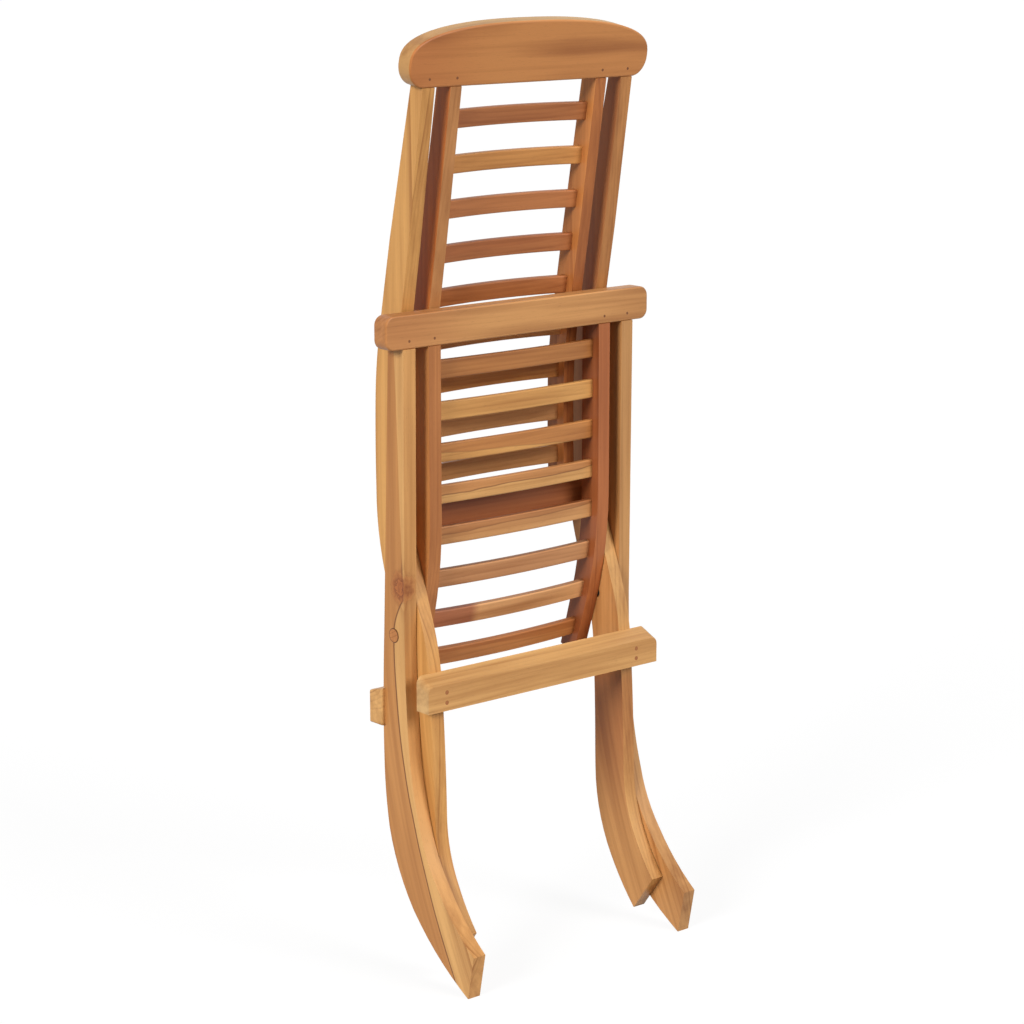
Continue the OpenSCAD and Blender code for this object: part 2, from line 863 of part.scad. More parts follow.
crest_rail();
back_leg_left();
back_leg_right();
back_stile_left();
back_stile_right();
back_slat_1();
back_slat_2();
back_slat_3();
back_slat_4();
back_slat_5();
back_slat_6();
back_slat_7();
back_slat_8();
back_slat_9();
back_bottom_rail();
back_rail_dowels();
front_stretcher();
crest_pins();
front_stretcher_screws();
seat_front_rail();
seat_leg_left();
seat_leg_right();
seat_stile_left();
seat_stile_right();
seat_slat_1();
seat_slat_2();
seat_slat_3();
seat_slat_4();
seat_slat_5();
seat_slat_6();
seat_slat_7();
seat_slat_8();
rear_stretcher();
rail_pins();
rear_stretcher_screws();
pivot_bolts();
pivot_plugs();
pivot_spacer_washers();
pivot_nut_washers();
pivot_nuts();
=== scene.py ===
# %% [markdown]
# The folding garden chair stands folded, as it is photographed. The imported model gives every
# board at its real size and place, so this script only finishes it: eased edges, oiled wood,
# a plain floor, soft light and the camera. Each step is a small cell that prints what it did.
# All lengths are in metres.

# %% Load the frame
import json
import math

import bpy
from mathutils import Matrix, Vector


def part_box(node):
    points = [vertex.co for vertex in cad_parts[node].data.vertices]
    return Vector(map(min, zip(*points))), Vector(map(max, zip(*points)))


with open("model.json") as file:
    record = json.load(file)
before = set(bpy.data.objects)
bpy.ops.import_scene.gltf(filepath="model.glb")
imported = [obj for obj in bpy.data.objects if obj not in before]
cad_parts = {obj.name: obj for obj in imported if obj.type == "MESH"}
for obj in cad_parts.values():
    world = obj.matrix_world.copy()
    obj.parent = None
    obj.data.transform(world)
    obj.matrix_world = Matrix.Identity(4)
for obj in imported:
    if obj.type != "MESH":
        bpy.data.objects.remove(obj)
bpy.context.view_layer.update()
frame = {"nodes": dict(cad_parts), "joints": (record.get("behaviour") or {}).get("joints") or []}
nodes = frame["nodes"]
scene = bpy.context.scene
scene.view_settings.view_transform = "Standard"
print("pieces in the frame:", len(nodes))

# %% [markdown]
# The hinge is the one place from which the grain and the knots are measured, because the legs
# bend around it. The record of the frame says where it is.

# %% Hinge
hinge = Vector(frame["joints"][0]["pos_m"])
print("hinge at", [round(value, 4) for value in hinge])


# %% [markdown]
# The photographer stood about four metres back with a long lens, to the left of the chair and a
# little above its middle, and looked slightly down. The place is written from the hinge, so that
# the view stays the same if the chair's size changes. The lens needs no shift: without one, the
# outline fits the photograph as well as the eye can tell.

# %% Camera
CAMERA_FROM_HINGE = Vector((-2.6052, -3.0592, 1.0362))
CAMERA_TURN = 40.466
CAMERA_DIP = 12.464
FOCAL_PIXELS = 2835.0
FRAME_PIXELS = 1024.0
SENSOR_MILLIMETRES = 36.0
CAMERA_SEES = 300.0


def add_camera():
    data = bpy.data.cameras.new("camera")
    data.sensor_width = SENSOR_MILLIMETRES
    data.lens = FOCAL_PIXELS * SENSOR_MILLIMETRES / FRAME_PIXELS
    data.clip_end = CAMERA_SEES
    camera = bpy.data.objects.new("camera", data)
    camera.location = hinge + CAMERA_FROM_HINGE
    camera.rotation_euler = (math.radians(90.0 - CAMERA_DIP), 0.0, math.radians(-CAMERA_TURN))
    scene.collection.objects.link(camera)
    scene.camera = camera
    distance = round(CAMERA_FROM_HINGE.length, 2)
    print("camera lens", round(data.lens, 2), "mm,", distance, "m from the hinge")


add_camera()


# %% [markdown]
# Shader and geometry trees are easier to read when one call adds a node, sets it and wires it.
# `wire` does that: an input may be a plain value or another node's output. The other helpers
# are the few sums that the trees below use again and again.

# %% Tree helpers
def wire(tree, kind, inputs=None, **settings):
    node = tree.nodes.new(kind)
    for name, value in settings.items():
        setattr(node, name, value)
    for name, value in (inputs or {}).items():
        socket = node.inputs[name]
        if isinstance(value, bpy.types.NodeSocket):
            tree.links.new(value, socket)
        else:
            socket.default_value = value
    return node


def calc(tree, operation, *terms, clamp=False):
    inputs = dict(enumerate(terms))
    return wire(tree, "ShaderNodeMath", inputs, operation=operation, use_clamp=clamp).outputs[0]


def scaled(tree, value, factor, added=0.0, clamp=False):
    return calc(tree, "ADD", calc(tree, "MULTIPLY", value, factor), added, clamp=clamp)


def smooth(tree, value, low, high):
    inputs = {"Value": value, "From Min": low, "From Max": high}
    return wire(tree, "ShaderNodeMapRange", inputs, interpolation_type="SMOOTHSTEP").outputs[0]


def vector_calc(tree, operation, first, second):
    inputs = {0: first, 1: second}
    return wire(tree, "ShaderNodeVectorMath", inputs, operation=operation).outputs[0]


def stretch(tree, vector, factors):
    return vector_calc(tree, "MULTIPLY", vector, factors)


def length(tree, vector):
    return wire(tree, "ShaderNodeVectorMath", {0: vector}, operation="LENGTH").outputs["Value"]


def split(tree, vector):
    return wire(tree, "ShaderNodeSeparateXYZ", {0: vector}).outputs


def join(tree, *parts):
    return wire(tree, "ShaderNodeCombineXYZ", dict(enumerate(parts))).outputs[0]


def noise(tree, vector, scale=1.0, detail=2.0, roughness=0.5):
    inputs = {"Vector": vector, "Scale": scale, "Detail": detail, "Roughness": roughness}
    return wire(tree, "ShaderNodeTexNoise", inputs).outputs[0]


def mix(tree, factor, first, second, blend="MIX"):
    inputs = {0: factor, 6: first, 7: second}
    return wire(tree, "ShaderNodeMix", inputs, data_type="RGBA", blend_type=blend).outputs[2]


print("tree helpers ready")


# %% [markdown]
# An effect that many pieces share is a node group. It is built once, with named inputs, and each
# material places it with its own values.

# %% Group helpers
NO_LIMIT = 10.0


def new_group(name, kind, sockets):
    tree = bpy.data.node_groups.new(name, kind)
    for label, direction, socket, value in sockets:
        made = tree.interface.new_socket(label, in_out=direction, socket_type="NodeSocket" + socket)
        if value is not None:
            made.default_value = value
    return tree


def place_group(tree, group, inputs):
    return wire(tree, "ShaderNodeGroup", inputs, node_tree=group).outputs


def labels(group, direction):
    return [item.name for item in group.interface.items_tree if item.in_out == direction]


print("group helpers ready")


# %% [markdown]
# Sawn edges cut the hand, so a joiner eases every free edge with a plane or sandpaper, but
# leaves the edges alone where one board meets another. A bevel modifier can do both when it
# follows a weight. The geometry group below gives each sharp edge that weight: full on free
# edges, none at a shoulder, in a notch or round a small hole.

# %% Eased edges: the weights
WELD = 1e-5
SHARP_ANGLE = math.radians(28.0)


def edge_weight_group():
    tree = new_group("eased_arris", "GeometryNodeTree", [
        ("Geometry", "INPUT", "Geometry", None),
        ("Shortest", "INPUT", "Float", 0.0016),
        ("Top", "INPUT", "Float", NO_LIMIT),
        ("Reach", "INPUT", "Float", NO_LIMIT),
        ("Notch Low", "INPUT", "Float", -NO_LIMIT),
        ("Notch High", "INPUT", "Float", -NO_LIMIT),
        ("Geometry", "OUTPUT", "Geometry", None)])
    entry = wire(tree, "NodeGroupInput").outputs
    merged = wire(tree, "GeometryNodeMergeByDistance",
                  {"Geometry": entry["Geometry"], "Distance": WELD})
    ends = wire(tree, "GeometryNodeInputMeshEdgeVertices").outputs
    first, second = ends["Position 1"], ends["Position 2"]
    span = wire(tree, "ShaderNodeVectorMath", {0: first, 1: second}, operation="DISTANCE")
    middle = stretch(tree, vector_calc(tree, "ADD", first, second), (0.5, 0.5, 0.5))
    across, _, height = split(tree, middle)
    angle = wire(tree, "GeometryNodeInputMeshEdgeAngle").outputs[0]
    sharp = calc(tree, "GREATER_THAN", angle, SHARP_ANGLE)
    long = calc(tree, "GREATER_THAN", span.outputs["Value"], entry["Shortest"])
    below = calc(tree, "LESS_THAN", height, entry["Top"])
    inside = calc(tree, "LESS_THAN", calc(tree, "ABSOLUTE", across), entry["Reach"])
    under_notch = calc(tree, "LESS_THAN", height, entry["Notch Low"])
    over_notch = calc(tree, "GREATER_THAN", height, entry["Notch High"])
    weight = calc(tree, "MAXIMUM", under_notch, over_notch)
    for test in (sharp, long, below, inside):
        weight = calc(tree, "MULTIPLY", weight, test)
    stored = wire(tree, "GeometryNodeStoreNamedAttribute",
                  {"Geometry": merged.outputs[0], "Name": "bevel_weight_edge", "Value": weight},
                  data_type="FLOAT", domain="EDGE")
    wire(tree, "NodeGroupOutput", {"Geometry": stored.outputs[0]})
    return tree


EASED = edge_weight_group()
print("edge weight inputs:", labels(EASED, "INPUT"))


# %% [markdown]
# A curved board is made of many narrow faces. They are shaded as one round surface, and only
# where two faces meet at a real corner does the light change sharply.

# %% Eased edges: the shading
SOFT_ANGLE = math.radians(40.0)


def smooth_group():
    tree = new_group("smooth_faces", "GeometryNodeTree", [
        ("Geometry", "INPUT", "Geometry", None),
        ("Geometry", "OUTPUT", "Geometry", None)])
    entry = wire(tree, "NodeGroupInput").outputs
    angle = wire(tree, "GeometryNodeInputMeshEdgeAngle").outputs[0]
    soft = calc(tree, "LESS_THAN", angle, SOFT_ANGLE)
    edges = wire(tree, "GeometryNodeSetShadeSmooth",
                 {"Geometry": entry[0], "Shade Smooth": soft}, domain="EDGE")
    faces = wire(tree, "GeometryNodeSetShadeSmooth",
                 {"Geometry": edges.outputs[0], "Shade Smooth": True}, domain="FACE")
    wire(tree, "NodeGroupOutput", {"Geometry": faces.outputs[0]})
    return tree


SMOOTHED = smooth_group()
print("shading group:", SMOOTHED.name)


# %% [markdown]
# Each board gets five modifiers in a row: the weights, a step that makes each flat face one
# face so that the bevel meets no needless edges, the bevel, the shading, and normals that keep
# the flat faces flat in the light. The model's own mesh is not touched.

# %% Eased edges: one board
FLAT_ANGLE = math.radians(0.2)
FLAT_FACE_WEIGHT = 80


def ease(name, width, segments=3, limits=None):
    limits = limits or {}
    piece = nodes[name]
    weights = piece.modifiers.new("edge weights", "NODES")
    weights.node_group = EASED
    for item in EASED.interface.items_tree:
        if item.in_out == "INPUT" and item.name in limits:
            weights[item.identifier] = limits[item.name]
    flat = piece.modifiers.new("whole faces", "DECIMATE")
    flat.decimate_type = "DISSOLVE"
    flat.angle_limit = FLAT_ANGLE
    bevel = piece.modifiers.new("eased edges", "BEVEL")
    bevel.limit_method = "WEIGHT"
    bevel.width = width
    bevel.segments = segments
    faces = piece.modifiers.new("smooth faces", "NODES")
    faces.node_group = SMOOTHED
    shade = piece.modifiers.new("flat shading kept", "WEIGHTED_NORMAL")
    shade.keep_sharp = True
    shade.weight = FLAT_FACE_WEIGHT


print("easing ready")

# %% [markdown]
# The crest and the rails are what the hands hold, so they are rounded most, and the legs only
# lose their sharpness. Nothing is eased inside a joint: the uprights stop short of the crest
# and the rail, the legs skip the notches of the stretchers, and the slats stop at the stiles.

# %% Eased edges: every board
CLEARANCE = 0.001
CREST_CLEARANCE = 0.006
SHORT_EDGE = 0.004
BACK_SLAT_COUNT = 9
SEAT_SLAT_COUNT = 8

crest_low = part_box("crest_rail")[0].z
rail_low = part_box("seat_front_rail")[0].z
front_low, front_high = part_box("front_stretcher")
rear_low, rear_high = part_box("rear_stretcher")
under_crest = {"Shortest": SHORT_EDGE, "Top": crest_low - CREST_CLEARANCE}
under_rail = {"Shortest": SHORT_EDGE, "Top": rail_low - CLEARANCE}
front_notch = {"Notch Low": front_low.z - CLEARANCE, "Notch High": front_high.z + CLEARANCE}
rear_notch = {"Notch Low": rear_low.z - CLEARANCE, "Notch High": rear_high.z + CLEARANCE}
above_rear = {"Notch Low": -1.0, "Notch High": rear_high.z + CLEARANCE}
for side in ("left", "right"):
    ease("back_leg_" + side, width=0.0019, limits={**under_crest, **front_notch})
    ease("seat_leg_" + side, width=0.0019, limits={**under_rail, **rear_notch})
    ease("back_stile_" + side, width=0.0022, limits=under_crest)
    ease("seat_stile_" + side, width=0.0024, limits={**under_rail, **above_rear})
back_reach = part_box("back_stile_right")[0].x - CLEARANCE
seat_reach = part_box("seat_stile_right")[0].x - CLEARANCE
for number in range(1, BACK_SLAT_COUNT + 1):
    ease("back_slat_%d" % number, width=0.0022, limits={"Reach": back_reach})
for number in range(1, SEAT_SLAT_COUNT + 1):
    ease("seat_slat_%d" % number, width=0.0024, limits={"Reach": seat_reach})
ease("crest_rail", width=0.0075, segments=5)
ease("seat_front_rail", width=0.0045, segments=4)
ease("front_stretcher", width=0.0045, segments=4)
ease("rear_stretcher", width=0.0028)
ease("back_bottom_rail", width=0.0020)
ease("pivot_plugs", width=0.0008, limits={"Shortest": 0.0})
print("eased boards:", sum(1 for piece in nodes.values() if "eased edges" in piece.modifiers))


# %% [markdown]
# The figure of wood runs along the board, so every board has a space of its own, with its first
# axis along the grain. The uprights measure it from the hinge and the crosspieces from their
# own middle. The shift gives each board another place in the tree. The feet were sawn from
# planks with a natural sweep, so below the hinge the grain of an upright bends forward with the
# leg, by this much for each square metre of drop.

# %% Board space
GRAIN_SWEEP = 0.55


def board_space_group(name, upright):
    tree = new_group(name, "ShaderNodeTree", [
        ("Centre", "INPUT", "Vector", None),
        ("Shift", "INPUT", "Vector", None),
        ("Board", "OUTPUT", "Vector", None),
        ("Grain", "OUTPUT", "Vector", None)])
    entry = wire(tree, "NodeGroupInput").outputs
    place = wire(tree, "ShaderNodeTexCoord").outputs["Object"]
    across, deep, height = split(tree, vector_calc(tree, "SUBTRACT", place, entry["Centre"]))
    if upright:
        board = join(tree, height, deep, across)
        drop = calc(tree, "MINIMUM", height, 0.0)
        bend = calc(tree, "MULTIPLY", calc(tree, "MULTIPLY", drop, drop), GRAIN_SWEEP)
        grain = join(tree, height, calc(tree, "ADD", deep, bend), across)
    else:
        board = grain = join(tree, across, height, deep)
    grain = vector_calc(tree, "ADD", grain, entry["Shift"])
    wire(tree, "NodeGroupOutput", {"Board": board, "Grain": grain})
    return tree


UPRIGHT_SPACE = board_space_group("upright_space", upright=True)
CROSS_SPACE = board_space_group("crosspiece_space", upright=False)
print("board spaces:", UPRIGHT_SPACE.name, CROSS_SPACE.name)


# %% [markdown]
# A knot is where a branch left the trunk. It has small dark rings of its own and pushes the
# growth lines of the board aside. Its size is measured in its own radius, with a wobble, so that
# it is never a perfect circle.

# %% Wood figure: the knot
KNOT_STRETCH = (0.75, 1.0, 1.0)
KNOT_WOBBLE_SCALE = 160.0
KNOT_WOBBLE = 0.7
KNOT_EDGE = (0.8, 1.7)
KNOT_PUSH = 0.02
KNOT_PUSH_FADE = -0.9
KNOT_RING_COUNT = 2.2


def knot_figure(tree, board, place, size):
    gap = stretch(tree, vector_calc(tree, "SUBTRACT", board, place), KNOT_STRETCH)
    far = calc(tree, "DIVIDE", length(tree, gap), size)
    wobble = calc(tree, "MULTIPLY", noise(tree, board, KNOT_WOBBLE_SCALE, detail=3.0), KNOT_WOBBLE)
    near = calc(tree, "ADD", far, wobble)
    mask = calc(tree, "SUBTRACT", 1.0, smooth(tree, near, *KNOT_EDGE))
    fading = calc(tree, "EXPONENT", calc(tree, "MULTIPLY", far, KNOT_PUSH_FADE))
    push = calc(tree, "MULTIPLY", fading, KNOT_PUSH)
    rings = calc(tree, "FRACT", calc(tree, "MULTIPLY", near, KNOT_RING_COUNT))
    return mask, push, rings


print("knot figure ready")


# %% [markdown]
# The growth lines are real rings, round a pith that lies outside the board, so they bend into
# flames where the board bends. A slow sway keeps them from being ruled lines. Each ring darkens
# slowly through the summer and ends sharply, and chance makes a few strong and most faint.

# %% Wood figure: the growth lines
SWAY_STRETCH = (1.6, 9.0, 9.0)
RING_STRETCH = (0.04, 1.0, 1.0)
UNEVEN_STRETCH = (1.2, 30.0, 30.0)
UNEVEN_TURNS = 1.6
FEW_ARE_STRONG = 2.2
LATE_WOOD = (0.30, 0.95)
RING_END = (0.93, 1.0)


def swayed_board(tree, board, waviness):
    slow = wire(tree, "ShaderNodeTexNoise",
                {"Vector": stretch(tree, board, SWAY_STRETCH), "Scale": 1.0, "Detail": 1.0})
    sway = vector_calc(tree, "SUBTRACT", slow.outputs["Color"], (0.5, 0.5, 0.5))
    sway = wire(tree, "ShaderNodeVectorMath", {0: sway, "Scale": waviness}, operation="SCALE")
    return vector_calc(tree, "ADD", board, sway.outputs[0])


def ring_figure(tree, board, swayed, pith, spacing, push):
    across = stretch(tree, vector_calc(tree, "SUBTRACT", swayed, pith), RING_STRETCH)
    radius = calc(tree, "ADD", length(tree, across), push)
    uneven = noise(tree, stretch(tree, board, UNEVEN_STRETCH))
    uneven = calc(tree, "MULTIPLY", uneven, UNEVEN_TURNS)
    turns = calc(tree, "ADD", calc(tree, "DIVIDE", radius, spacing), uneven)
    chance = wire(tree, "ShaderNodeTexWhiteNoise", {"W": calc(tree, "FLOOR", turns)},
                  noise_dimensions="1D")
    vigour = calc(tree, "POWER", chance.outputs["Value"], FEW_ARE_STRONG)
    year = calc(tree, "FRACT", turns)
    late = smooth(tree, year, *LATE_WOOD)
    ended = calc(tree, "SUBTRACT", 1.0, smooth(tree, year, *RING_END))
    return calc(tree, "MULTIPLY", calc(tree, "MULTIPLY", late, ended), vigour)


print("ring figure ready")


# %% [markdown]
# Planed and oiled teak is calm: growth lines that wander along the board, broad clouds of redder
# and paler wood, fine streaks, finer fibres and short dark pores. Each is a noise, stretched
# along the grain. The numbers are waves in a metre: along, across and through the board.

# %% Wood figure: the group
CLOUD_STRETCH = (2.4, 22.0, 22.0)
STREAK_STRETCH = (3.0, 100.0, 100.0)
FIBRE_STRETCH = (16.0, 800.0, 800.0)
PORE_STRETCH = (90.0, 1600.0, 1600.0)
PORE_LIMITS = (0.64, 0.74)
NOWHERE = (9.0, 9.0, 9.0)


def board_figure_group():
    tree = new_group("board_figure", "ShaderNodeTree", [
        ("Grain", "INPUT", "Vector", None),
        ("Pith", "INPUT", "Vector", None),
        ("Ring Spacing", "INPUT", "Float", 0.006),
        ("Waviness", "INPUT", "Float", 0.016),
        ("Knot", "INPUT", "Vector", NOWHERE),
        ("Knot Size", "INPUT", "Float", 0.010),
        ("Rings", "OUTPUT", "Float", None),
        ("Clouds", "OUTPUT", "Float", None),
        ("Streaks", "OUTPUT", "Float", None),
        ("Fibres", "OUTPUT", "Float", None),
        ("Pores", "OUTPUT", "Float", None),
        ("Knot Mask", "OUTPUT", "Float", None),
        ("Knot Rings", "OUTPUT", "Float", None)])
    entry = wire(tree, "NodeGroupInput").outputs
    board = entry["Grain"]
    mask, push, knot_rings = knot_figure(tree, board, entry["Knot"], entry["Knot Size"])
    swayed = swayed_board(tree, board, entry["Waviness"])
    rings = ring_figure(tree, board, swayed, entry["Pith"], entry["Ring Spacing"], push)
    clouds = noise(tree, stretch(tree, swayed, CLOUD_STRETCH))
    streaks = noise(tree, stretch(tree, swayed, STREAK_STRETCH), detail=3.0, roughness=0.55)
    fibres = noise(tree, stretch(tree, board, FIBRE_STRETCH), detail=3.0, roughness=0.6)
    pores = noise(tree, stretch(tree, board, PORE_STRETCH), detail=1.0)
    pores = smooth(tree, pores, *PORE_LIMITS)
    wire(tree, "NodeGroupOutput", {
        "Rings": rings, "Clouds": clouds, "Streaks": streaks, "Fibres": fibres, "Pores": pores,
        "Knot Mask": mask, "Knot Rings": knot_rings})
    return tree


FIGURE = board_figure_group()
print("wood figure outputs:", labels(FIGURE, "OUTPUT"))


# %% [markdown]
# Colours are written as they are seen, in sRGB, and turned into light values once. Each board
# was cut from another place in the tree, so no two have quite the same colour. A board's tone is
# its middle colour, from which the pale and the dark wood of its figure are made.

# %% Colours
PALE_WOOD = (1.24, 1.31, 1.38)
DARK_WOOD = (0.70, 0.60, 0.52)


def seen(red, green, blue):
    linear = []
    for value in (red, green, blue):
        share = value / 255.0
        linear.append(share / 12.92 if share <= 0.04045 else ((share + 0.055) / 1.055) ** 2.4)
    return (*linear, 1.0)


def tint(red, green, blue):
    return (red, green, blue, 1.0)


def tone(red, green, blue):
    middle = seen(red, green, blue)[:3]
    pale = tint(*(value * part for value, part in zip(middle, PALE_WOOD)))
    dark = tint(*(value * part for value, part in zip(middle, DARK_WOOD)))
    return pale, dark


NO_TINT = tint(1.0, 1.0, 1.0)
CREAM = tone(202, 150, 90)
GOLDEN = tone(197, 142, 79)
STRAW = tone(194, 132, 70)
SAND = tone(192, 137, 84)
HONEY = tone(182, 127, 74)
AMBER = tone(177, 114, 61)
RUSSET = tone(167, 102, 56)
BROWN = tone(153, 88, 47)
print("wood colours ready")


# %% [markdown]
# Some boards are cut where the pale outer wood meets the darker heart, so they show two colours
# with a line between them. The line follows the trunk: straight, sloping, or bent round a knot.
# The heartwood's tint multiplies the board's colour, and the line itself may be dark. It fades
# out at its top.

# %% Heartwood
HEART_BROWN = seen(98, 52, 22)
HEART_WANDER_STRETCH = (9.0, 20.0, 20.0)
HEART_LINE_FADE = 0.05


def heart_distance(tree, entry):
    along, across, _ = split(tree, entry["Board"])
    low = calc(tree, "MINIMUM", along, 0.0)
    high = calc(tree, "MAXIMUM", along, 0.0)
    below = calc(tree, "MULTIPLY", calc(tree, "MULTIPLY", low, low), entry["Bend Below"])
    above = calc(tree, "MULTIPLY", calc(tree, "MULTIPLY", high, high), entry["Bend Above"])
    above = calc(tree, "MAXIMUM", above,
                 scaled(tree, high, entry["Above Slope"], entry["Above At"]))
    line = scaled(tree, along, entry["Slope"], entry["At"])
    line = calc(tree, "ADD", line, calc(tree, "ADD", below, above))
    wander = noise(tree, stretch(tree, entry["Board"], HEART_WANDER_STRETCH))
    wander = calc(tree, "MULTIPLY", calc(tree, "SUBTRACT", wander, 0.5), entry["Wander"])
    return calc(tree, "SUBTRACT", across, calc(tree, "ADD", line, wander))


def heart_group():
    tree = new_group("heartwood", "ShaderNodeTree", [
        ("Colour", "INPUT", "Color", None),
        ("Board", "INPUT", "Vector", None),
        ("At", "INPUT", "Float", 0.0),
        ("Slope", "INPUT", "Float", 0.0),
        ("Bend Below", "INPUT", "Float", 0.0),
        ("Bend Above", "INPUT", "Float", 0.0),
        ("Above At", "INPUT", "Float", -NO_LIMIT),
        ("Above Slope", "INPUT", "Float", 0.0),
        ("Wander", "INPUT", "Float", 0.002),
        ("Tint", "INPUT", "Color", NO_TINT),
        ("Soft", "INPUT", "Float", 0.0012),
        ("Line Width", "INPUT", "Float", 0.0009),
        ("Line Strength", "INPUT", "Float", 0.0),
        ("Line Top", "INPUT", "Float", NO_LIMIT),
        ("Colour", "OUTPUT", "Color", None)])
    entry = wire(tree, "NodeGroupInput").outputs
    distance = heart_distance(tree, entry)
    heart = smooth(tree, distance, calc(tree, "MULTIPLY", entry["Soft"], -1.0), entry["Soft"])
    colour = mix(tree, heart, entry["Colour"], entry["Tint"], "MULTIPLY")
    away = calc(tree, "DIVIDE", distance, entry["Line Width"])
    away = calc(tree, "MULTIPLY", calc(tree, "MULTIPLY", away, away), -1.0)
    fade_start = calc(tree, "SUBTRACT", entry["Line Top"], HEART_LINE_FADE)
    faded = smooth(tree, split(tree, entry["Board"])[0], entry["Line Top"], fade_start)
    line = calc(tree, "MULTIPLY", calc(tree, "EXPONENT", away), faded)
    line = calc(tree, "MULTIPLY", line, entry["Line Strength"])
    wire(tree, "NodeGroupOutput", {"Colour": mix(tree, line, colour, HEART_BROWN)})
    return tree


HEARTWOOD = heart_group()
print("heartwood inputs:", labels(HEARTWOOD, "INPUT"))


# %% [markdown]
# Other boards turn redder towards one end, without a line. The blush grows from a start to an
# end along the board, and a stretch between two more places may stay clear of it.

# %% Blush
CLEAR_BEGINS_OVER = 0.04
CLEAR_ENDS_OVER = 0.12


def blush_group():
    tree = new_group("red_blush", "ShaderNodeTree", [
        ("Colour", "INPUT", "Color", None),
        ("Board", "INPUT", "Vector", None),
        ("Tint", "INPUT", "Color", NO_TINT),
        ("Start", "INPUT", "Float", 0.0),
        ("End", "INPUT", "Float", 1.0),
        ("Clear Low", "INPUT", "Float", NO_LIMIT),
        ("Clear High", "INPUT", "Float", NO_LIMIT),
        ("Colour", "OUTPUT", "Color", None)])
    entry = wire(tree, "NodeGroupInput").outputs
    along = split(tree, entry["Board"])[0]
    share = smooth(tree, along, entry["Start"], entry["End"])
    low_end = calc(tree, "ADD", entry["Clear Low"], CLEAR_BEGINS_OVER)
    high_end = calc(tree, "ADD", entry["Clear High"], CLEAR_ENDS_OVER)
    clear = calc(tree, "MULTIPLY", smooth(tree, along, entry["Clear Low"], low_end),
                 smooth(tree, along, high_end, entry["Clear High"]))
    share = calc(tree, "MULTIPLY", share, calc(tree, "SUBTRACT", 1.0, clear))
    blushed = mix(tree, share, entry["Colour"], entry["Tint"], "MULTIPLY")
    wire(tree, "NodeGroupOutput", {"Colour": blushed})
    return tree


BLUSH = blush_group()
print("blush inputs:", labels(BLUSH, "INPUT"))


# %% [markdown]
# A board's narrow faces get a tint of their own, which is painted light and shade: it makes them
# lighter or darker than the wide faces, as light and shade fall on them. Its eased edges are
# painted a little paler, a painted highlight. Both follow from the direction in which the surface
# faces. Uprights and crosspieces have their narrow faces on other sides, so there is one group for
# each.

# %% Narrow faces and edges: painted light and shade
NARROW_FACING = (0.2, 0.6)
UPRIGHT_ARRIS = (0.08, 0.21)
CROSS_ARRIS = (0.33, 0.5)
# painted highlight: the eased edges are made paler, as if they catch the light
PAINTED_ARRIS_HIGHLIGHT = tint(1.16, 1.18, 1.20)


def painted_face_light_group(name, upright):
    tree = new_group(name, "ShaderNodeTree", [
        ("Colour", "INPUT", "Color", None),
        ("Painted Face Light", "INPUT", "Color", NO_TINT),
        ("Colour", "OUTPUT", "Color", None)])
    entry = wire(tree, "NodeGroupInput").outputs
    normal = wire(tree, "ShaderNodeTexCoord").outputs["Normal"]
    side, front, top = [calc(tree, "ABSOLUTE", part) for part in split(tree, normal)]
    if upright:
        wide = side
        away = calc(tree, "SUBTRACT", 1.0, side)
        arris = smooth(tree, calc(tree, "MULTIPLY", side, away), *UPRIGHT_ARRIS)
    else:
        wide = front
        arris = smooth(tree, calc(tree, "MULTIPLY", front, top), *CROSS_ARRIS)
    narrow = calc(tree, "SUBTRACT", 1.0, smooth(tree, wide, *NARROW_FACING))
    # painted light and shade: the narrow faces get their own tint
    colour = mix(tree, narrow, entry["Colour"], entry["Painted Face Light"], "MULTIPLY")
    # painted highlight: the eased edges are made paler
    wire(tree, "NodeGroupOutput", {"Colour": mix(tree, arris, colour, PAINTED_ARRIS_HIGHLIGHT, "MULTIPLY")})
    return tree


UPRIGHT_PAINTED_LIGHT = painted_face_light_group("upright_painted_light", upright=True)
CROSS_PAINTED_LIGHT = painted_face_light_group("crosspiece_painted_light", upright=False)
print("edge groups:", UPRIGHT_PAINTED_LIGHT.name, CROSS_PAINTED_LIGHT.name)


# %% [markdown]
# Oil brings out the fibres as a fine play of light and dark and fills the pores with brown. It
# leaves a soft sheen, duller where the fibres stand up. The fibres rise and the pores sink by a
# few hundredths of a millimetre, which is work for a bump and not for the mesh.

# %% Oil
FIBRE_CONTRAST = 0.5
FIBRE_DARK = (0.25, 0.25, 0.25, 1.0)
FIBRE_PALE = (0.75, 0.75, 0.75, 1.0)
FIBRE_MIX = 0.25
PORE_BROWN = seen(104, 60, 30)
PORE_MIX = 0.22
SHEEN_ROUGHNESS = 0.37
FIBRE_ROUGHNESS = 0.16
FIBRE_RISE = 0.4
PORE_RISE = -0.8


